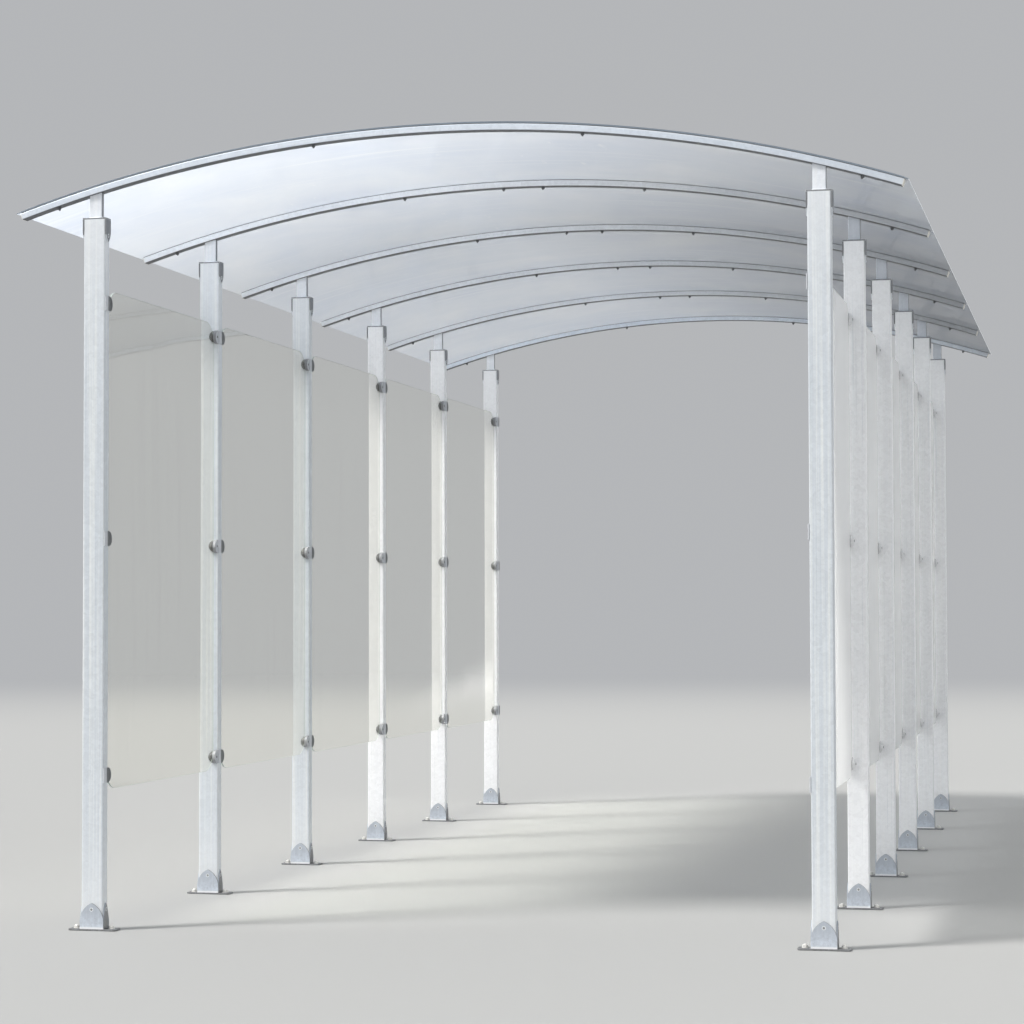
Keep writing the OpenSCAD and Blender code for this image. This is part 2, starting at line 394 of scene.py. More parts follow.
def makeDustGroup():
    # Dust and dried drops: cloudy film and small round spots
    inputs = {"Vector": None, "Spots": 110.0, "Film": 3.0}
    group, entry, leave = startGroup("driedDust", inputs, ["Film", "Spots"])
    cloud = noise(group, entry["Vector"], scale=entry["Film"], detail=5.0, roughness=0.62, distortion=0.4)
    cells = place(group, "TexVoronoi", {"Vector": entry["Vector"], "Scale": entry["Spots"]})
    ring = remap(group, cells.outputs["Distance"], low=0.22, high=0.1, curve="SMOOTHSTEP")
    chosen = place(group, "SeparateColor", {0: cells.outputs["Color"]}).outputs[0]
    few = remap(group, chosen, low=0.72, high=0.8)
    group.links.new(remap(group, cloud, low=0.35, high=0.75), leave["Film"])
    group.links.new(times(group, ring, few), leave["Spots"])
    return group


spangleGroup = makeSpangleGroup()
streakGroup = makeStreakGroup()
splashAndHighlightGroup = makeSplashGroup()
edgeGroup = makeEdgeGroup()
dustGroup = makeDustGroup()


def startMaterial(name):
    material = bpy.data.materials.new(name)
    material.use_nodes = True
    tree = material.node_tree
    shader = tree.nodes["Principled BSDF"]
    return material, tree, shader


def surfaceCoords(tree, unrolled=False):
    if unrolled:
        return place(tree, "Attribute", attribute_name="unrolled").outputs["Vector"]
    return place(tree, "TexCoord").outputs["Object"]


def runMarks(tree, coords, across, along, least, most, seed):
    return useGroup(tree, streakGroup, {"Vector": coords, "Across": across, "Along": along, "Least": least,
                                        "Most": most, "Seed": seed})


def finishSurface(tree, shader, base, rough, height, strength, distance):
    # Colour, roughness and bump of a finished surface
    tree.links.new(base, shader.inputs["Base Color"])
    tree.links.new(rough, shader.inputs["Roughness"])
    bump = place(tree, "Bump", {"Height": height, "Strength": strength, "Distance": distance})
    tree.links.new(bump.outputs[0], shader.inputs["Normal"])


def darker(colour, share):
    return tuple(share * c for c in colour)


def shaded(tree, colour, share):
    # The colour times a grey of the given strength
    grey = place(tree, "CombineColor", {0: share, 1: share, 2: share}).outputs[0]
    return blend(tree, 1.0, colour, grey, "MULTIPLY")


def withPaintedShade(tree, coords, colour, paintedShade):
    # Painted shade: darkens a colour along the arc (third coordinate) and along the row (first coordinate),
    # between the places given
    parts = axes(tree, coords)
    share = remap(tree, parts[2], paintedShade["left"], paintedShade["right"], 1.0, paintedShade["leastAcross"])
    further = remap(tree, parts[0], paintedShade["front"], paintedShade["back"], 1.0, paintedShade["leastAlong"])
    return shaded(tree, colour, times(tree, share, further))


# What every zinc finish shares: the tones of its stains and of its worn edges, which also carry a painted
# highlight, its crystals, its pale and its dark run marks, its grain and its bump
zincLook = {"stain": (0.50, 0.55, 0.61), "wearAndPaintedLight": (0.92, 0.94, 0.96), "contrast": 0.55,
            "pale": {"along": 0.8, "least": 0.42, "most": 0.68},
            "dark": {"along": 1.4, "least": 0.55, "most": 0.75}, "darkAcross": 1.5, "darkSeed": 7.0,
            "crystalRange": (0.2, 0.8), "crystalShades": (0.92, 1.06), "smoother": 0.07,
            "rougher": 0.09, "splashRough": 0.3, "grainScale": 420.0, "grainShare": 0.35,
            "bump": 0.10, "bumpDepth": 1.2 * mm}


def makeZinc(name, bright, dull, streaked=(0.88, 0.90, 0.91), metallic=0.25, roughness=0.46, spangle=0.012,
             unrolled=False, seed=0.0, streaks=0.5, stains=0.25, across=105.0, rim=0.35,
             foot=(0.50, 0.47, 0.42), footReach=0.22, footAmount=0.45, undersideShade=None, paintedShade=None,
             hemHighlight=None):
    # Hot-dip galvanised steel: crystals, run marks, chalky streaks, splashed foot, and brighter edges of
    # wear and painted highlight
    material, tree, shader = startMaterial(name)
    coords = surfaceCoords(tree, unrolled)
    crystals = useGroup(tree, spangleGroup, {"Vector": coords, "Size": spangle,
                                             "Contrast": zincLook["contrast"]})
    marks = runMarks(tree, coords, across, seed=seed, **zincLook["pale"])
    dark = runMarks(tree, coords, zincLook["darkAcross"] * across, seed=seed + zincLook["darkSeed"],
                    **zincLook["dark"])
    objectPlace = surfaceCoords(tree)
    footMask = useGroup(tree, splashAndHighlightGroup, {"Vector": objectPlace, "Reach": footReach, "Amount": footAmount})
    edges = useGroup(tree, edgeGroup, {"Vector": objectPlace})
    base = blend(tree, marks["Patches"], dull, bright)
    base = blend(tree, times(tree, marks["Mask"], streaks), base, streaked)
    base = blend(tree, times(tree, dark["Mask"], stains), base, zincLook["stain"])
    dim, lit = zincLook["crystalRange"]
    base = shaded(tree, base, remap(tree, crystals["Tone"], dim, lit, *zincLook["crystalShades"]))
    base = blend(tree, footMask["Mask"], base, foot)
    base = blend(tree, times(tree, edges["Mask"], rim), base, zincLook["wearAndPaintedLight"])
    if undersideShade:
        # Painted shade on the underside of an arch, found by the distance from the arch's centre
        under = remap(tree, axes(tree, coords)[1], undersideShade["shadeStarts"], undersideShade["shadeFull"])
        base = blend(tree, times(tree, under, undersideShade["amount"]), base, undersideShade["tone"])
    # Painted shade across the arc and along the row
    if paintedShade:
        base = withPaintedShade(tree, coords, base, paintedShade)
    if hemHighlight:
        # Painted highlight: a bright strip along the lowest edge
        low = remap(tree, axes(tree, objectPlace)[2], hemHighlight["high"], hemHighlight["low"])
        base = blend(tree, low, base, hemHighlight["tone"])
    rough = remap(tree, crystals["Tone"], dim, lit, roughness - zincLook["smoother"],
                  roughness + zincLook["rougher"])
    rough = combine(tree, "ADD", rough, times(tree, footMask["Mask"], zincLook["splashRough"]))
    shader.inputs["Metallic"].default_value = metallic
    grain = noise(tree, coords, scale=zincLook["grainScale"], detail=3.0)
    height = combine(tree, "ADD", crystals["Height"], times(tree, grain, zincLook["grainShare"]))
    finishSurface(tree, shader, base, rough, height, zincLook["bump"], zincLook["bumpDepth"])
    return material


# What every clear sheet shares. backShare is the part of the haze that throws light back.
clearLook = {"index": 1.49, "backShare": 0.13, "soiling": 0.5, "soiledShade": 0.93, "soiledRough": 0.05,
             "filmShare": 0.35, "spotShare": 0.5, "waveScale": 2.6, "waveDepth": 4 * mm}


def makeClear(name, tint, roughness, veil, milkTones, lampTint, ripple, unrolled=False, paintedShade=None):
    # Clear plastic: glass that lamps shine through, under a milky veil that glows with the light behind it
    material, tree, shader = startMaterial(name)
    coords = surfaceCoords(tree, unrolled)
    dust = useGroup(tree, dustGroup, {"Vector": coords, "Spots": 260.0, "Film": 2.2})
    marks = runMarks(tree, coords, across=26.0, along=1.0, least=0.45, most=0.75, seed=3.0)
    wisps = runMarks(tree, coords, across=9.0, along=30.0, least=0.6, most=0.75, seed=9.0)
    film = combine(tree, "MAXIMUM", times(tree, dust["Film"], clearLook["filmShare"]), marks["Mask"])
    soiled = combine(tree, "MAXIMUM", film, times(tree, dust["Spots"], clearLook["spotShare"]))
    shade = darker(tint, clearLook["soiledShade"])
    base = blend(tree, times(tree, soiled, clearLook["soiling"]), tint, shade)
    rough = remap(tree, soiled, 0.0, 1.0, roughness, roughness + clearLook["soiledRough"])
    shader.inputs["Transmission Weight"].default_value = 1.0
    shader.inputs["IOR"].default_value = clearLook["index"]
    waves = noise(tree, coords, scale=clearLook["waveScale"], detail=1.0)
    finishSurface(tree, shader, base, rough, waves, ripple, clearLook["waveDepth"])
    lamps = place(tree, "LightPath").outputs["Is Shadow Ray"]
    lampWay = place(tree, "BsdfTransparent", {"Color": lampTint}).outputs[0]
    panes = mixed(tree, lamps, shader.outputs[0], lampWay)
    cloudy = combine(tree, "MAXIMUM", dust["Film"], marks["Mask"])
    cloudy = combine(tree, "MAXIMUM", cloudy, wisps["Mask"])
    milkTone = blend(tree, cloudy, milkTones[0], milkTones[1])
    # Painted shade on the milk, across the arc and along the row
    if paintedShade:
        milkTone = withPaintedShade(tree, coords, milkTone, paintedShade)
    through = place(tree, "BsdfTranslucent", {"Color": milkTone}).outputs[0]
    back = place(tree, "BsdfDiffuse", {"Color": milkTone}).outputs[0]
    milk = mixed(tree, clearLook["backShare"], through, back)
    tree.links.new(mixed(tree, veil, panes, milk), tree.nodes["Material Output"].inputs["Surface"])
    return material


def makeCutEdge(name, colour):
    # Sawn and scraped edge of a clear sheet: bright, with fine cross scratches
    material, tree, shader = startMaterial(name)
    coords = surfaceCoords(tree)
    scratches = noise(tree, coords, scale=900.0, detail=2.0)
    base = blend(tree, remap(tree, scratches, low=0.35, high=0.7), colour, darker(colour, share=0.82))
    rough = remap(tree, scratches, low=0.3, high=0.7, newLow=0.22, newHigh=0.4)
    finishSurface(tree, shader, base, rough, scratches, strength=0.15, distance=0.5 * mm)
    return material


def makeMoulded(name, colour, wearAndPaintedLight, roughness, dusty=0.35, scuffedAndHighlighted=0.5, rougher=0.2):
    # Moulded plastic or rubber: fine grain, paler dust in the hollows, and scuffed edges with a painted
    # highlight
    material, tree, shader = startMaterial(name)
    coords = surfaceCoords(tree)
    dust = useGroup(tree, dustGroup, {"Vector": coords, "Spots": 420.0, "Film": 24.0})
    edges = useGroup(tree, edgeGroup, {"Vector": coords, "Least": 0.505, "Most": 0.56, "Break": 0.6})
    base = blend(tree, times(tree, dust["Film"], dusty), colour, wearAndPaintedLight)
    base = blend(tree, times(tree, edges["Mask"], scuffedAndHighlighted), base, wearAndPaintedLight)
    rough = remap(tree, dust["Film"], 0.0, 1.0, roughness, roughness + rougher)
    grain = noise(tree, coords, scale=1100.0, detail=2.0)
    finishSurface(tree, shader, base, rough, grain, strength=0.18, distance=0.4 * mm)
    return material


def makeBrightZinc(name, colour, dull, roughness, freckled=0.5, rougher=0.25, metallic=0.3):
    # Electroplated fasteners: brushed, bright, with dull freckles
    material, tree, shader = startMaterial(name)
    coords = surfaceCoords(tree)
    dust = useGroup(tree, dustGroup, {"Vector": coords, "Spots": 700.0, "Film": 60.0})
    base = blend(tree, times(tree, dust["Film"], freckled), colour, dull)
    rough = remap(tree, dust["Film"], 0.0, 1.0, roughness, roughness + rougher)
    shader.inputs["Metallic"].default_value = metallic
    finishSurface(tree, shader, base, rough, dust["Film"], strength=0.12, distance=0.4 * mm)
    return material


# The finishes. A zinc one has a bright, a dull and a streak tone, and what differs from the usual.
postZinc = makeZinc("galvanisedPost", (0.72, 0.76, 0.80), (0.61, 0.655, 0.70), (0.84, 0.865, 0.86),
                    streaks=0.85, stains=0.5, across=120.0, rim=0.7)
# Painted light: a near-white copy of the post zinc for the posts further back
paintedLightPostZinc = makeZinc("galvanisedPostPaintedLight", (0.98, 0.98, 0.985), (0.91, 0.915, 0.93),
                         (0.98, 0.98, 0.98), metallic=0.0, seed=5.0, streaks=0.8, stains=0.45,
                         across=120.0, rim=0.5)
# Painted highlight at the shoes' feet: the pale foot tone and the bright hem stand in for light on the tabs'
# bends
shoeHemHighlight = {"low": 9 * mm, "high": 13 * mm, "tone": (0.93, 0.94, 0.96)}
shoeZinc = makeZinc("galvanisedShoe", (0.52, 0.56, 0.62), (0.44, 0.48, 0.54), (0.60, 0.64, 0.69),
                    metallic=0.35, seed=11.0, rim=0.15, foot=(0.74, 0.80, 0.88), footReach=0.075,
                    footAmount=1.0, hemHighlight=shoeHemHighlight)
# Dirt and painted shade: dark zinc for the base plates and the front and back edges of the head caps
plateDirtAndShadeZinc = makeZinc("plateDirtAndShade", (0.26, 0.27, 0.28), (0.19, 0.20, 0.21), (0.33, 0.34, 0.35),
                     metallic=0.3, seed=17.0, rim=0.1, foot=(0.16, 0.155, 0.15), footAmount=0.9)
# Painted shade: a dark copy of the zinc for faces that look to the sides, and for the rivet heads
sideShadeZinc = makeZinc("zincSidePaintedShade", (0.24, 0.25, 0.27), (0.18, 0.19, 0.21), (0.30, 0.31, 0.33),
                    metallic=0.3, seed=19.0, rim=0.1)
headZinc = makeZinc("galvanisedHead", (0.72, 0.76, 0.81), (0.62, 0.66, 0.71), metallic=0.3, seed=23.0,
                    rim=0.6)
stubZinc = makeZinc("galvanisedStub", (0.88, 0.91, 0.96), (0.80, 0.84, 0.90), (0.95, 0.96, 0.97),
                    metallic=0.2, seed=29.0)
# Painted shade: a darker copy of the stub zinc for the stubs on the right behind the first frame
shadedStubZinc = makeZinc("galvanisedStubPaintedShade", (0.56, 0.60, 0.67), (0.48, 0.52, 0.59), (0.62, 0.66, 0.72),
                        metallic=0.2, seed=30.0)
# Painted shade on the arches' undersides, darkest right at the underside
archUndersideShade = {"shadeStarts": arch["radius"] + 1.6 * mm, "shadeFull": arch["radius"] + 0.3 * mm, "amount": 0.95,
             "tone": (0.045, 0.05, 0.06)}
# Painted shade on the arches: darker towards the right, and on the middle arches also further back
archPaintedShade = {"left": 0.0, "right": 1.3, "leastAcross": 0.85, "front": -3.0, "back": 3.0,
               "leastAlong": 1.0}
innerArchPaintedShade = {"left": -0.3, "right": 1.2, "leastAcross": 0.55, "front": -1.6, "back": 0.6,
                    "leastAlong": 0.85}
archZinc = makeZinc("galvanisedArch", (0.78, 0.84, 0.92), (0.68, 0.75, 0.84), (0.88, 0.91, 0.95),
                    unrolled=True, seed=31.0, undersideShade=archUndersideShade, paintedShade=archPaintedShade)
# Painted light: a brighter copy of the arch zinc for the middle arches
paintedLightArchZinc = makeZinc("galvanisedArchPaintedLight", (0.93, 0.96, 1.0), (0.86, 0.90, 0.96), (0.97, 0.98, 1.0),
                         unrolled=True, metallic=0.1, seed=37.0, undersideShade=archUndersideShade,
                         paintedShade=innerArchPaintedShade)
stripMetal = makeZinc("coverStrip", (0.62, 0.65, 0.70), (0.50, 0.53, 0.58), unrolled=True, metallic=0.7,
                      roughness=0.4, seed=41.0)
innerStripEdge = makeZinc("coverStripInnerEdge", (0.62, 0.66, 0.72), (0.52, 0.56, 0.62),
                          (0.70, 0.74, 0.80), unrolled=True, metallic=0.3, seed=44.0)
stripEdge = makeZinc("coverStripEdge", (0.24, 0.28, 0.34), (0.18, 0.22, 0.27), (0.30, 0.33, 0.38),
                     unrolled=True, metallic=0.4, seed=43.0)
# Dark zinc for screws and nuts, and painted shade on the rear halves of the straps and the rear flats of the
# jaws
darkZincAndShade = makeZinc("clampStrap", (0.15, 0.155, 0.16), (0.11, 0.115, 0.12), (0.20, 0.205, 0.21),
                      metallic=0.3, roughness=0.45, spangle=0.004, seed=53.0, rim=0.05)
jawMetal = makeZinc("clampJaw", (0.28, 0.285, 0.30), (0.22, 0.225, 0.24), (0.34, 0.345, 0.36),
                    metallic=0.1, roughness=0.6, spangle=0.003, seed=59.0, rim=0.08)
shadeMetal = makeZinc("clampShade", (0.10, 0.10, 0.09), (0.06, 0.06, 0.055), (0.14, 0.14, 0.13),
                      metallic=0.1, roughness=0.6, spangle=0.003, seed=67.0, rim=0.05)
# Pale strap zinc, also painted light on the front flats of the left-hand jaws
strapMetal = makeZinc("clampStrapPale", (0.64, 0.66, 0.69), (0.54, 0.56, 0.59), (0.70, 0.72, 0.75),
                      metallic=0.15, roughness=0.5, spangle=0.004, seed=71.0, rim=0.1)
# Painted light: a much lighter copy of the jaw zinc for the right-hand row
paintedLightJawMetal = makeZinc("clampJawPaintedLight", (0.86, 0.86, 0.86), (0.74, 0.74, 0.75), (0.74, 0.74, 0.74),
                      metallic=0.1, roughness=0.42, spangle=0.003, seed=61.0, rim=0.3)
boltZinc = makeBrightZinc("boltZinc", (0.95, 0.94, 0.90), (0.62, 0.62, 0.60), 0.3)
padRubber = makeMoulded("padRubber", (0.020, 0.020, 0.022), (0.16, 0.155, 0.15), 0.6)
sealRubber = makeMoulded("sealRubber", (0.20, 0.21, 0.22), (0.38, 0.38, 0.37), 0.6)
plugPlastic = makeMoulded("plugPlastic", (0.80, 0.78, 0.71), (0.66, 0.64, 0.58), 0.45)
# Painted shade on the roof sheets: darker towards the right and further back
roofPaintedShade = {"left": -0.35, "right": 1.2, "leastAcross": 0.60, "front": -2.4, "back": -0.6,
               "leastAlong": 0.67}
roofClear = makeClear("clearRoofSheet", (0.90, 0.94, 0.98), 0.015, 0.67,
                      [(0.84, 0.88, 0.95), (0.97, 0.985, 1.0)], (0.95, 0.975, 1.0), 0.25,
                      unrolled=True, paintedShade=roofPaintedShade)
panelClear = makeClear("clearSidePanel", (0.975, 0.97, 0.925), 0.01, 0.015,
                       [(0.7, 0.72, 0.66), (0.95, 0.97, 0.92)], (0.96, 0.97, 0.95), 0.10)
# Right-hand panels: a milky veil of dust and painted sheen
dustAndSheenPanelClear = makeClear("sidePanelDustAndSheen", (0.98, 0.98, 0.97), 0.01, 0.50,
                            [(0.96, 0.96, 0.96), (1.0, 1.0, 1.0)], (0.96, 0.97, 0.97), 0.10)
roofEdge = makeCutEdge("roofSheetEdge", (0.90, 0.94, 0.97))
roofEndEdge = makeCutEdge("roofSheetEnd", (0.26, 0.31, 0.37))
panelEdge = makeCutEdge("sidePanelEdge", (0.56, 0.63, 0.58))
print("materials made:", len(bpy.data.materials))

# Posts: rolled tube with round corners

postShape = {"corner": 5 * mm, "cornerSteps": 6, "levels": 9, "postsWithoutPaintedLight": {"left": 3, "right": 1}}


def makePosts():
    loop = roundedLoop(postWidth, postDepth, postShape["corner"], postShape["cornerSteps"])
    for side, sign in sides.items():
        for i, y in enumerate(frameYs, 1):
            levels = np.linspace(postLow.z, postHigh.z, postShape["levels"])
            origins = [(sign * postX, y, z) for z in levels]
            tube = sweep(loop, origins, (1, 0, 0), (0, 1, 0))
            # Posts further back take the copy with painted light
            zinc = postZinc if i <= postShape["postsWithoutPaintedLight"][side] else paintedLightPostZinc
            makePiece(f"{side}_post_tube_{i}", [tube], zinc, [f"post_{side}_{i}"])


# Base shoes: plate and four pointed tabs, without the formed radius at their feet

shoeLow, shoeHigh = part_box("base_shoes_right")
shoe = {"plateCorner": 8 * mm, "tabStraight": 22 * mm, "tabThick": 4 * mm, "anchorSpacing": 114 * mm,
        "rivetBelowPoint": 20 * mm, "soft": 0.9 * mm}
plateLength = shoeHigh.x - shoeLow.x
plateDepth = 2 * (shoeHigh.y - frameYs[-1])
plateTop = postLow.z
tabHeight = shoeHigh.z - plateTop


def isPlate(points, faces):
    # Faces of the base plate, none of which stands above its upper side
    return np.array([points[f, 2].max() for f in faces]) < plateTop + 0.1 * mm


def facesAcross(points, faces):
    # Faces that look straight to the left or to the right, which take painted shade
    return facing(points, faces, 0)


def facesAlong(points, faces):
    # Faces that look along the shelter
    return facing(points, faces, 1)


def isTabSide(points, faces):
    # The tabs beside the post and the narrow edges of the wide tabs: they don't look along the shelter, and
    # take painted shade
    return ~isPlate(points, faces) & ~facing(points, faces, 1, least=0.7)


def shoeParts():
    plate = prism(roundedLoop(plateLength, plateDepth, shoe["plateCorner"], steps=5),
                  (0, 0, 0), (1, 0, 0), (0, 1, 0), plateTop)
    wide = pointedLoop(postWidth + 2 * shoe["tabThick"], shoe["tabStraight"], tabHeight, steps=14)
    narrow = pointedLoop(postDepth, shoe["tabStraight"], tabHeight, steps=10)
    t = shoe["tabThick"]
    tabs = [prism(wide, (0, -postDepth / 2, plateTop), (1, 0, 0), (0, 0, 1), t),
            prism(wide, (0, postDepth / 2, plateTop), (-1, 0, 0), (0, 0, 1), t),
            prism(narrow, (postWidth / 2, 0, plateTop), (0, 1, 0), (0, 0, 1), t),
            prism(narrow, (-postWidth / 2, 0, plateTop), (0, -1, 0), (0, 0, 1), t)]
    return [plate] + tabs


def makeShoes():
    solid = shoeParts()
    for side, sign in sides.items():
        parts = [shifted(part, (sign * postX, y, 0)) for y in frameYs for part in solid]
        makePiece(f"{side}_base_shoe_set", parts, shoeZinc, [f"base_shoes_{side}"],
                  bevel=shoe["soft"], others=[(plateDirtAndShadeZinc, isPlate), (sideShadeZinc, isTabSide)])


# Anchor studs, nuts and washers on the base plates, and rivets in the tabs and ears

fastener = {"washer": 10 * mm, "washerThick": 2 * mm, "nut": 8.5 * mm, "nutHigh": 7 * mm,
            "stud": 5 * mm, "studHigh": 11 * mm, "rivet": 4.0 * mm, "rivetHigh": 0.8 * mm,
            "rim": 6.2 * mm, "rimHigh": 0.35 * mm}


def hexNut(radius, height, lift, endShare=0.9, chamfer=0.12):
    # Six-sided prism with chamfered ends: the end rings are a little smaller than the middle ones
    radii = [endShare * radius, radius, radius, endShare * radius]
    heights = lift + height * np.array([0, chamfer, 1 - chamfer, 1.0])
    return turned(radii, heights, steps=6)


def boltEnd(radius, height, lift, tipShare=0.75, chamfer=0.3):
    # Plain cylinder with a chamfered tip
    heights = [lift, lift + height - chamfer * radius, lift + height]
    return turned([radius, radius, tipShare * radius], heights, steps=16)


def washer(radius, thick, topShare=0.94, straight=0.75):
    return turned([radius, radius, topShare * radius], [0, straight * thick, thick], steps=28)


def rivetHead(radius, height, lastAngle=1.35):
    # Dome: ring k stands at the sine of its angle times the height, and has the cosine times the radius
    angles = np.linspace(0, lastAngle, 5)
    return turned(radius * np.cos(angles), height * np.sin(angles), steps=18)


def makeAnchors():
    stack = [washer(fastener["washer"], fastener["washerThick"]),
             hexNut(fastener["nut"], fastener["nutHigh"], fastener["washerThick"]),
             boltEnd(fastener["stud"], fastener["studHigh"], 0)]
    parts = []
    for sign in sides.values():
        for y in frameYs:
            for end in (-1, 1):
                spot = (sign * postX + end * shoe["anchorSpacing"] / 2, y, plateTop)
                parts += [shifted(part, spot) for part in stack]
    makePiece("anchor_nuts", parts, boltZinc)


def makeRivets():
    t = shoe["tabThick"]
    head = rivetHead(fastener["rivet"], fastener["rivetHigh"])
    rim = washer(fastener["rim"], fastener["rimHigh"])
    z = plateTop + tabHeight - shoe["rivetBelowPoint"]
    earZ = capTop - bracket["capThick"] - bracket["earHeight"] + bracket["rivetAbovePoint"]
    heads, rims = [], []
    for sign in sides.values():
        for y in frameYs:
            for way in (-1, 1):
                spots = [((sign * postX, y + way * (postDepth / 2 + t), z), (0, way, 0))]
                beside = sign * postX + way * (postWidth / 2 + t)
                spots += [((beside, y, level), (way, 0, 0)) for level in (z, earZ)]
                heads += [standOn(head, spot, axis) for spot, axis in spots]
                rims += [standOn(rim, spot, axis) for spot, axis in spots]
    # Rivet heads dark with painted shade, ringed by bright rims
    makePiece("rivet_heads", heads, sideShadeZinc)
    makePiece("rivet_rims", rims, postZinc)


# Post heads: cap plate, two pointed ears and the stub up to the arch

bracket = {"capThick": 5 * mm, "earHeight": 70 * mm, "earStraight": 34 * mm, "earThick": 4 * mm,
           "stubWidth": 40 * mm, "stubDepth": 20 * mm, "stubCorner": 3 * mm, "rivetAbovePoint": 20 * mm,
           "weld": 3.5 * mm, "capCorner": 1.5 * mm, "soft": 0.8 * mm}
capTop = postHigh.z + bracket["capThick"]


def archUnderside(x):
    # Height of the arch's underside over x
    return archCentreZ + np.sqrt(arch["radius"] ** 2 - x * x)


def stubPart(sign):
    # Straight tube whose top ring follows the arch: each point stops at the underside over its own x
    loop = roundedLoop(bracket["stubWidth"], bracket["stubDepth"], bracket["stubCorner"], steps=4)
    x, y = loop[:, 0] + sign * postX, loop[:, 1]
    low = np.stack([x, y, np.full(len(loop), capTop)], -1)
    high = np.stack([x, y, archUnderside(x)], -1)
    size = len(loop)
    points = np.vstack([low, high])
    faces = [[j, (j + 1) % size, size + (j + 1) % size, size + j] for j in range(size)]
    return points, faces + [list(range(size))[::-1], list(range(size, 2 * size))]


def weldCollar(width, depth, corner, radius, z, sign):
    # Rounded bead round the stub's foot: ring k steps out by r cos a and rises by r sin a
    angles = np.linspace(0, np.pi / 2, 5)
    out, rise = radius * np.cos(angles), radius * np.sin(angles)
    loops = np.array([roundedLoop(width + 2 * d, depth + 2 * d, corner + d, steps=4) for d in out])
    origins = np.array([(sign * postX, 0, z + r) for r in rise])
    return sweep(loops, origins, (1, 0, 0), (0, 1, 0))


def isFarRight(points, faces):
    # What stands on the right, except in the first frame: these stubs take painted shade
    centres = faceCentres(points, faces)
    return (centres[:, 0] > 0) & (centres[:, 1] > frontLimit)


def makeHeads():
    t = bracket["earThick"]
    ear = pointedLoop(postDepth, bracket["earStraight"], bracket["earHeight"], steps=10)
    for side, sign in sides.items():
        x = sign * postX
        hang = capTop - bracket["capThick"]
        outline = roundedLoop(postWidth + 2 * t, postDepth, bracket["capCorner"], steps=3)
        cap = prism(outline, (x, 0, hang), (1, 0, 0), (0, 1, 0), bracket["capThick"])
        ears = [prism(ear, (x + postWidth / 2, 0, hang), (0, -1, 0), (0, 0, -1), t),
                prism(ear, (x - postWidth / 2, 0, hang), (0, 1, 0), (0, 0, -1), t)]
        bead = weldCollar(bracket["stubWidth"], bracket["stubDepth"], bracket["stubCorner"], bracket["weld"],
                          capTop, sign)
        plates = [shifted(p, (0, y, 0)) for y in frameYs for p in [cap] + ears]
        stubs = [shifted(p, (0, y, 0)) for y in frameYs for p in [stubPart(sign), bead]]
        makePiece(f"{side}_head_plates", plates, headZinc, [f"head_brackets_{side}"],
                  bevel=bracket["soft"], others=[(sideShadeZinc, facesAcross), (plateDirtAndShadeZinc, facesAlong)])
        makePiece(f"{side}_head_stubs", stubs, stubZinc,
                  others=[(shadedStubZinc, isFarRight), (sideShadeZinc, facesAcross)])


# Arches, and everything that follows their curve

def carried(loop, y, radius, halfAngle, steps):
    # The loop (x along the shelter, y away from the arch's centre) carried from left to right along the arc
    angle = np.linspace(-halfAngle, halfAngle, steps + 1)
    outward = np.stack([np.sin(angle), np.zeros(steps + 1), np.cos(angle)], -1)
    origins = outward * radius + np.array([0, y, archCentreZ])
    return sweep(loop, origins, alongAxis, outward)


def outwardAt(angle):
    # Direction away from the arches' centre, at an angle from the top
    return np.array([math.sin(angle), 0, math.cos(angle)])


def onArch(y, radius, angle):
    # Point at this distance from the centre of the arch at y
    return np.array([0, y, archCentreZ]) + outwardAt(angle) * radius


def unrolled(points):
    # Along the shelter, away from the centre, and along the arc, which stands last as the way water runs
    x, z = points[:, 0], points[:, 2] - archCentreZ
    return np.stack([points[:, 1], np.hypot(x, z), arch["radius"] * np.arctan2(x, z)], -1)


def makeArches():
    loop = roundedLoop(arch["depth"], arch["height"], arch["corner"], steps=5)
    for i, y in enumerate(frameYs, 1):
        tube = carried(loop, y, arch["radius"] + arch["height"] / 2, archHalfAngle, arch["steps"])
        # The middle arches take the brighter copy: painted light
        zinc = paintedLightArchZinc if 1 < i < frameCount else archZinc
        makePiece(f"arch_tube_{i}", [tube], zinc, [f"arch_beam_{i}"], flat=unrolled)


plug = {"insets": (0, 0, 0.35 * mm, 1 * mm), "lifts": (0, 1.2 * mm, 1.75 * mm, 2 * mm)}


def makePlugs():
    # Flange with a rounded rim: the last rings are smaller than the first
    lifts = np.array(plug["lifts"])
    loops = np.array([roundedLoop(arch["depth"] - 2 * d, arch["height"] - 2 * d, arch["corner"], steps=5)
                      for d in plug["insets"]])
    parts = []
    for sign in sides.values():
        outward = outwardAt(sign * archHalfAngle)
        forward = np.array([sign * math.cos(archHalfAngle), 0, -math.sin(archHalfAngle)])
        across = np.cross(outward, forward)
        for y in frameYs:
            centre = onArch(y, arch["radius"] + arch["height"] / 2, sign * archHalfAngle)
            parts.append(sweep(loops, centre + lifts[:, None] * forward, across, outward))
    makePiece("arch_end_caps", parts, plugPlastic, ["arch_end_plugs"])


roof = {"sealThick": 1.5 * mm, "sealWidth": 36 * mm, "sheetThick": 3 * mm, "stripThick": 2 * mm,
        "stripWidth": 40 * mm, "sheetOverhang": 12 * mm, "gap": 0.1 * mm, "sheetSteps": 160,
        "lugPitch": 18 * mm, "lugLength": 10 * mm, "lugWidth": 2.2 * mm, "lugCorner": 0.5 * mm,
        "sealCorner": 0.4 * mm, "sheetCorner": 0.4 * mm, "stripCorner": 0.5 * mm}
sealRadius = arch["radius"] + arch["height"]
sheetRadius = sealRadius + roof["sealThick"]
stripRadius = sheetRadius + roof["sheetThick"]


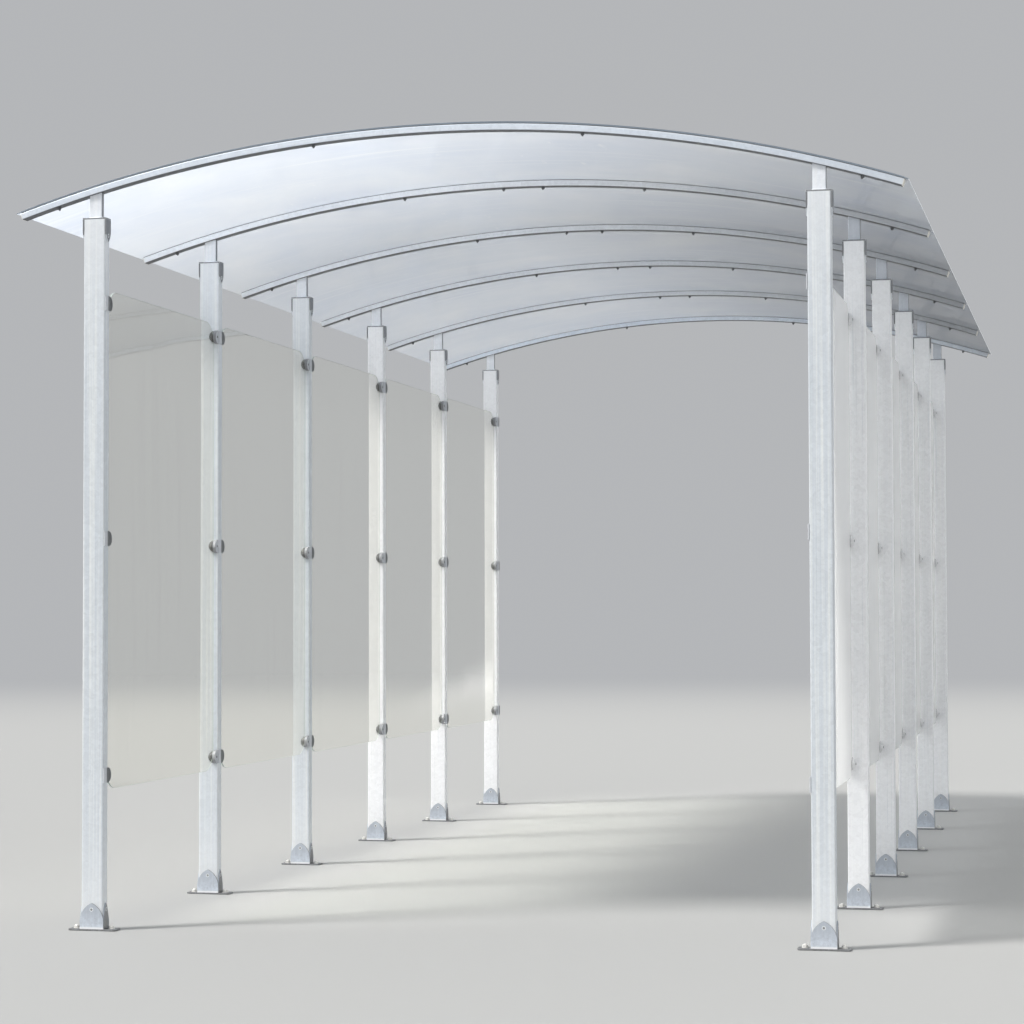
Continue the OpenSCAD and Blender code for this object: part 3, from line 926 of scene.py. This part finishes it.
def makeSeals():
    # A plain strip under the sheets, with a row of short lugs along both edges that show over the arch
    gap = roof["gap"]
    thick = roof["sealThick"] - 2 * gap
    strip = roundedLoop(roof["sealWidth"], thick, roof["sealCorner"], steps=2)
    count = int(2 * archHalfAngle * arch["radius"] / roof["lugPitch"])
    angles = (np.arange(count) - (count - 1) / 2) * roof["lugPitch"] / arch["radius"]
    lugOutline = roundedLoop(roof["lugLength"], roof["lugWidth"], roof["lugCorner"], steps=1)
    lug = prism(lugOutline, (0, 0, 0), (1, 0, 0), (0, 1, 0), thick)
    parts = []
    for y in frameYs:
        parts.append(carried(strip, y, sealRadius + roof["sealThick"] / 2, archHalfAngle, arch["steps"]))
        for edge in (-1, 1):
            lugY = y + edge * roof["sealWidth"] / 2
            parts += [standOn(lug, onArch(lugY, sealRadius + gap, a), outwardAt(a)) for a in angles]
    makePiece("roof_seal_strips", parts, sealRubber, ["roof_seals"])


def makeSheets():
    halfAngle = math.asin((postX + arch["overhang"] + roof["sheetOverhang"]) / arch["radius"])
    thick = roof["sheetThick"] - 2 * roof["gap"]

    def isEdge(points, faces):
        # Faces whose points don't all lie on the upper or the lower side
        radius = np.hypot(points[:, 0], points[:, 2] - archCentreZ)
        return spreadOver(radius, faces, least=0.2 * mm)

    def isEnd(points, faces):
        # The front edge, over the first arch
        isAtFront = faceCentres(points, faces)[:, 1] < frontLimit
        return isAtFront & facing(points, faces, 1, least=0.7)

    for i in range(1, frameCount):
        low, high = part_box(f"roof_sheet_{i}")
        loop = roundedLoop(high.y - low.y, thick, roof["sheetCorner"], steps=2)
        sheet = carried(loop, (low.y + high.y) / 2, sheetRadius + roof["sheetThick"] / 2, halfAngle,
                        roof["sheetSteps"])
        makePiece(f"roof_glazing_{i}", [sheet], roofClear, [f"roof_sheet_{i}"],
                  flat=unrolled, others=[(roofEdge, isEdge), (roofEndEdge, isEnd)])


def makeStrips():
    loop = roundedLoop(roof["stripWidth"], roof["stripThick"] - roof["gap"], roof["stripCorner"], steps=3)
    middle = stripRadius + (roof["stripThick"] + roof["gap"]) / 2
    parts = [carried(loop, y, middle, archHalfAngle, arch["steps"]) for y in frameYs]

    def isSide(points, faces):
        # Faces along the strips' two long edges
        return facing(points, faces, 1, least=0.5)

    def isFrontSide(points, faces):
        # The same on the strip over the first arch
        return isSide(points, faces) & (faceCentres(points, faces)[:, 1] < frontLimit)

    makePiece("roof_clamp_strips", parts, stripMetal, ["roof_cover_strips"], flat=unrolled,
              others=[(innerStripEdge, isSide), (stripEdge, isFrontSide)])


# Bolts through the strip, the sheet and the arch, with nuts underneath

roofBolt = {"outer": 1251 * mm, "inner": 420 * mm, "pair": 69 * mm, "washer": 7.5 * mm,
            "washerThick": 1.2 * mm, "nut": 5.8 * mm, "nutHigh": 5 * mm, "stud": 3 * mm,
            "studHigh": 10 * mm, "head": 6.5 * mm, "headTop": 0.93 * 6.5 * mm, "headHigh": 0.4 * mm,
            "headSunk": 0.5 * mm}


def makeRoofBolts():
    under = [washer(roofBolt["washer"], roofBolt["washerThick"]),
             hexNut(roofBolt["nut"], roofBolt["nutHigh"], roofBolt["washerThick"]),
             boltEnd(roofBolt["stud"], roofBolt["studHigh"], 0)]
    head = turned([roofBolt["head"], roofBolt["headTop"]], [-roofBolt["headSunk"], roofBolt["headHigh"]],
                  steps=20)
    nuts, heads = [], []
    for i, y in enumerate(frameYs):
        xs = [roofBolt["outer"], roofBolt["inner"]]
        if 0 < i < frameCount - 1:
            xs.append(roofBolt["pair"])
        for x in [sign * value for sign in (-1, 1) for value in xs]:
            a = math.asin(x / arch["radius"])
            nuts += [standOn(part, onArch(y, arch["radius"], a), -outwardAt(a)) for part in under]
            heads.append(standOn(head, onArch(y, stripRadius + roof["stripThick"], a), outwardAt(a)))
    makePiece("roof_bolt_nuts", nuts, darkZincAndShade)
    makePiece("roof_bolt_heads", heads, boltZinc)


# Side panels with round corners and ground edges

panel = {"corner": 80 * mm, "thick": 6 * mm, "ground": 0.8 * mm}


def makePanels():
    ground = panel["ground"]

    def isEdge(points, faces):
        # Faces whose points don't all lie on one of the two large faces
        return spreadOver(points[:, 0], faces, least=0.1 * mm)

    for side in sides:
        for i in range(1, frameCount):
            low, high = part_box(f"side_panel_{side}_{i}")
            centre = (low + high) / 2
            length, height = high.y - low.y, high.z - low.z
            insets = (ground, 0, 0, ground)
            loops = np.array([roundedLoop(length - 2 * d, height - 2 * d, panel["corner"] - d, steps=14)
                              for d in insets])
            xs = (low.x, low.x + ground, high.x - ground, high.x)
            sheet = sweep(loops, [(x, centre.y, centre.z) for x in xs], (0, 1, 0), (0, 0, 1))
            # The right-hand panels take the veil of dust and painted sheen
            clear = dustAndSheenPanelClear if side == "right" else panelClear
            makePiece(f"{side}_glazing_{i}", [sheet], clear, [f"side_panel_{side}_{i}"],
                      others=[(panelEdge, isEdge)])


# Panel clamps: jaws with rubber pads and screws, and the strap between them

clamp = {"rows": 3, "height": 46 * mm, "length": 28 * mm, "cheek": 12 * mm, "crownRadius": 25 * mm,
         "inset": 46 * mm, "panelGap": 12 * mm, "strapThick": 4 * mm, "pad": 0.9 * mm, "padPast": 0.6 * mm,
         "play": 0.05 * mm, "soft": 1.4 * mm, "crownShort": 0.3 * mm, "leastThick": 0.2 * mm,
         "screw": 4.2 * mm, "screwAt": 12 * mm, "screwLevels": (-0.5 * mm, 0.7 * mm, 1.1 * mm),
         "socketLevels": (1 * mm, 1.15 * mm), "grooves": 4, "grooveDepth": 0.7 * mm, "grooveSharpness": 3,
         "strapSoft": 1 * mm, "strapShort": 0.2 * mm, "strapSteps": 81, "middleAt": 0.45, "softSteps": 5,
         "closing": (0.8, 0.6, 0.4, 0.2), "padSqueeze": 0.99}


def clampLevels():
    first = panelLow.z + clamp["inset"]
    last = panelHigh.z - clamp["inset"]
    return np.linspace(first, last, clamp["rows"])


def crownHeight(z):
    # Outer side of a jaw, from the panel's middle: an arc about an axis that runs along the row of posts
    reach = panel["thick"] / 2 + clamp["cheek"]
    return reach - clamp["crownRadius"] + np.sqrt(clamp["crownRadius"] ** 2 - z * z)


def cheekPart(outline, foot, top):
    # The outline rises from the foot, turns in over a quarter circle of the soft edge's radius, and then
    # shrinks to the middle. Its height at each point is the top's height there.
    middle = np.array([clamp["middleAt"] * clamp["length"], 0])
    away = outline - middle
    distance = np.linalg.norm(away, axis=1)
    closing = clamp["closing"]
    angles = np.linspace(0, np.pi / 2, clamp["softSteps"])
    insets = clamp["soft"] * (1 - np.cos(angles))
    drops = clamp["soft"] * (1 - np.sin(angles))
    shrink = np.concatenate([np.ones(len(angles)), closing])
    insets = np.concatenate([insets, np.full(len(closing), clamp["soft"])])
    drops = np.concatenate([drops, np.zeros(len(closing))])
    scale = (1 - insets[:, None] / distance[None, :]) * shrink[:, None]
    flatPoints = middle + away[None] * scale[:, :, None]
    heights = np.maximum(top(flatPoints[:, :, 1]) - drops[:, None], foot + clamp["leastThick"])
    rings = np.concatenate([heights[:, :, None], flatPoints], -1)
    base = np.column_stack([np.full(len(outline), foot), outline])
    return skin(np.concatenate([base[None], rings]))


def jawParts():
    # Drawn on the right-hand row, growing along +Y from the post's back face, with x measured from the
    # panel's middle
    half, pad, play = panel["thick"] / 2, clamp["pad"], clamp["play"]
    outline = halfRoundLoop(clamp["length"], clamp["height"], steps=28)
    # Where the crown meets the pad the outer cheek has no thickness left
    depth = half + pad - crownHeight(0) + clamp["crownRadius"]
    limit = math.sqrt(clamp["crownRadius"] ** 2 - depth ** 2) - clamp["crownShort"]
    clipped = np.column_stack([outline[:, 0], np.clip(outline[:, 1], -limit, limit)])
    outer = cheekPart(clipped, half + pad, crownHeight)
    inner = turnedRound(cheekPart(outline, half + pad, lambda z: np.full_like(z, half + clamp["cheek"])))
    reach = clamp["panelGap"] - 4 * play
    web = np.array([[0, -limit], [reach, -limit], [reach, limit], [0, limit]])
    bridge = prism(web, (-half - pad, 0, 0), (0, 1, 0), (0, 0, 1), panel["thick"] + 2 * pad)
    past = clamp["padPast"]
    padLoop = halfRoundLoop(clamp["length"] + past, 2 * (limit + past), steps=24)
    padLoop = padLoop * np.array([1, clamp["padSqueeze"]])
    pads = [prism(padLoop, (x, 0, 0), (0, 1, 0), (0, 0, 1), pad - 3 * play)
            for x in (half + 2 * play, -half - pad + play)]
    return [outer, inner, bridge], pads


def strapLoop():
    # Section of the strap across the post: bevelled edges, and grooves cut as cosine dips in the inner face
    half, thick, soft = postDepth / 2 - clamp["strapShort"], clamp["strapThick"], clamp["strapSoft"]
    across = np.linspace(-half + soft, half - soft, clamp["strapSteps"])
    waves = 0.5 - 0.5 * np.cos(across / half * np.pi * clamp["grooves"])
    dips = clamp["grooveDepth"] * waves ** clamp["grooveSharpness"]
    face = np.stack([thick - dips, across], -1)
    return np.vstack([[0, -half], [thick - soft, -half], face, [thick - soft, half], [0, half]])


def isShadedRearHalf(points, faces):
    # The part of each strap behind the middle of its post, which takes painted shade
    past = faceCentres(points, faces)[:, 1] - frameYs[0]
    return (past + bayPitch / 2) % bayPitch - bayPitch / 2 > 1 * mm


def makeClamps():
    jaw, pads = jawParts()
    panelMiddle = (panelLow.x + panelHigh.x) / 2
    strap = strapLoop()
    screw = turned(clamp["screw"] * np.array([1, 1, 0.85]), clamp["screwLevels"], steps=20)
    socket = turned(clamp["screw"] * np.array([0.5, 0.5]), clamp["socketLevels"], steps=6)
    for side, sign in sides.items():
        jaws, liners, straps, screws = [], [], [], []
        for z in clampLevels():
            for i, y in enumerate(frameYs):
                inner = postX - postWidth / 2
                low = np.array([inner, y, z - clamp["height"] / 2])
                high = low + upAxis * clamp["height"]
                straps.append(onSide(sweep(strap, [low, high], (-1, 0, 0), (0, -1, 0)), side))
                for way in (-1, 1):
                    if not 0 <= i + min(way, 0) < frameCount - 1:
                        continue
                    turn = np.array([1, way, 1])
                    spot = np.array([panelMiddle, y + way * postDepth / 2, z])

                    def seated(part):
                        faces = part[1] if way == 1 else [f[::-1] for f in part[1]]
                        return onSide((part[0] * turn + spot, faces), side)

                    jaws += [seated(part) for part in jaw]
                    liners += [seated(part) for part in pads]
                    for face in (-1, 1):
                        reach = face * crownHeight(0)
                        foot = spot + np.array([reach, way * clamp["screwAt"], 0])
                        screws.append(onSide(standOn(screw, foot, (face, 0, 0)), side))
                        liners.append(onSide(standOn(socket, foot, (face, 0, 0)), side))

        def isInnerFlat(points, faces):
            # Faces that look towards the walkway
            return faceNormals(points, faces)[:, 0] * sign < -squareOn

        def isRearFlat(points, faces):
            # Those of them on the jaws behind the posts, in the first half of a bay, which take painted
            # shade
            past = (faceCentres(points, faces)[:, 1] - frameYs[0]) / bayPitch % 1.0
            return isInnerFlat(points, faces) & (past < 0.5)

        def isOuterWall(points, faces):
            # Faces round the edge of the outer cheeks, which don't look across and take painted shade
            beyond = faceCentres(points, faces)[:, 0] * sign > panelMiddle
            return beyond & ~facing(points, faces, 0, least=0.75)

        def isFrontFlat(points, faces):
            # The flats on the jaws before the posts, which take painted light from the pale strap zinc
            return isInnerFlat(points, faces) & ~isRearFlat(points, faces)

        # Left-hand jaws: painted shade on the rear flats and outer walls, painted light on the front flats
        wearAndPaintedLight = [(darkZincAndShade, isRearFlat), (shadeMetal, isOuterWall), (strapMetal, isFrontFlat)]
        # The right-hand row's jaws take the lighter copy: painted light
        jawFinish, otherFinishes = (jawMetal, wearAndPaintedLight) if side == "left" else (paintedLightJawMetal, [])
        makePiece(f"{side}_clamp_jaw_set", jaws, jawFinish, [f"clamp_jaws_{side}"],
                  others=otherFinishes)
        makePiece(f"{side}_clamp_pads", liners, padRubber)
        makePiece(f"{side}_clamp_strap_set", straps, strapMetal, [f"clamp_straps_{side}"],
                  others=[(darkZincAndShade, isShadedRearHalf)])
        makePiece(f"{side}_clamp_screws", screws, darkZincAndShade)


makePosts()
makeShoes()
makeAnchors()
makeHeads()
makeRivets()
print("posts, shoes and heads made")
makeArches()
makePlugs()
makeSeals()
makeSheets()
makeStrips()
makeRoofBolts()
print("arches and roof made")
makePanels()
makeClamps()
print("panels and clamps made")

# Floor, lamps and surroundings

studio = {"floorTone": (0.475, 0.475, 0.466), "bounceTone": (0.56, 0.56, 0.56),
          "background": (0.46, 0.47, 0.485), "boxTone": (1.15, 1.15, 1.15), "boxSlope": 0.085,
          "boxOuter": 0.125, "boxInner": 0.075, "floorRings": (90.0, 30.0, 12.0, 4.0), "floorSteps": 96,
          "floorDrop": 0.5 * mm, "floorRough": 0.75, "fadeStart": 9.0, "fadeEnd": 30.0,
          "sunStrength": 2.8, "sunAngle": 12.0, "sunTone": (1.0, 0.985, 0.96),
          "sunFrom": (-0.53, -0.37, 0.763), "skyTone": (0.95, 0.975, 1.0), "skyStrength": 0.68}


def lightBox(tree, vector, mirroredRay):
    # A light box at the far end, which shows only in mirror images. It stands where x over y is
    # near its slope.
    x, y, _ = axes(tree, vector)
    slope = combine(tree, "DIVIDE", x, combine(tree, "MAXIMUM", y, 0.001))
    off = combine(tree, "ABSOLUTE", combine(tree, "SUBTRACT", slope, studio["boxSlope"]), 0.0)
    box = remap(tree, off, studio["boxOuter"], studio["boxInner"], curve="SMOOTHSTEP")
    return blend(tree, times(tree, box, mirroredRay), studio["background"], studio["boxTone"])


def makeFloor():
    # Disc whose rings grow outwards: plain paint near the shelter, fading to the background further off
    material, tree, shader = startMaterial("floorPaint")
    coords = surfaceCoords(tree)
    path = place(tree, "LightPath").outputs
    tone = blend(tree, path["Is Diffuse Ray"], studio["floorTone"], studio["bounceTone"])
    tree.links.new(tone, shader.inputs["Base Color"])
    shader.inputs["Roughness"].default_value = studio["floorRough"]
    far = place(tree, "VectorMath", {0: coords}, operation="LENGTH").outputs["Value"]
    fade = remap(tree, far, studio["fadeStart"], studio["fadeEnd"], curve="SMOOTHERSTEP")
    tone = lightBox(tree, coords, path["Is Glossy Ray"])
    glow = place(tree, "Emission", {"Color": tone, "Strength": 1.0}).outputs[0]
    whole = mixed(tree, fade, shader.outputs[0], glow)
    tree.links.new(whole, tree.nodes["Material Output"].inputs["Surface"])
    steps, rings = studio["floorSteps"], len(studio["floorRings"])
    outlines = np.array([circleLoop(r, steps) for r in studio["floorRings"]]).reshape(-1, 2)
    points = np.column_stack([outlines, np.full(len(outlines), -studio["floorDrop"])])
    faces = [[k * steps + j, k * steps + (j + 1) % steps, (k + 1) * steps + (j + 1) % steps,
              (k + 1) * steps + j] for k in range(rings - 1) for j in range(steps)]
    faces.append(list(range((rings - 1) * steps, rings * steps)))
    mesh = bpy.data.meshes.new("studioFloor")
    mesh.from_pydata(points.tolist(), [], faces)
    mesh.materials.append(material)
    addToScene("studioFloor", mesh)


def makeLight():
    sun = bpy.data.lights.new("keyLamp", "SUN")
    sun.energy = studio["sunStrength"]
    sun.angle = math.radians(studio["sunAngle"])
    sun.color = studio["sunTone"]
    lamp = addToScene("keyLamp", sun)
    lamp.rotation_euler = Vector(studio["sunFrom"]).to_track_quat("Z", "Y").to_euler()
    world = bpy.data.worlds.new("studioSky")
    world.use_nodes = True
    tree = world.node_tree
    path = place(tree, "LightPath").outputs
    seen = combine(tree, "MAXIMUM", path["Is Camera Ray"], path["Is Glossy Ray"])
    seen = combine(tree, "MAXIMUM", seen, path["Is Transmission Ray"])
    sky = tree.nodes["Background"]
    feed(tree, sky, {"Color": studio["skyTone"], "Strength": studio["skyStrength"]})
    way = place(tree, "TexCoord").outputs["Generated"]
    tone = lightBox(tree, way, path["Is Glossy Ray"])
    shown = place(tree, "Background", {"Color": tone, "Strength": 1.0}).outputs[0]
    whole = mixed(tree, seen, sky.outputs[0], shown)
    tree.links.new(whole, tree.nodes["World Output"].inputs["Surface"])
    bpy.context.scene.world = world


makeCamera()
makeFloor()
makeLight()
bpy.context.scene.view_settings.view_transform = "Standard"
print("studio made")
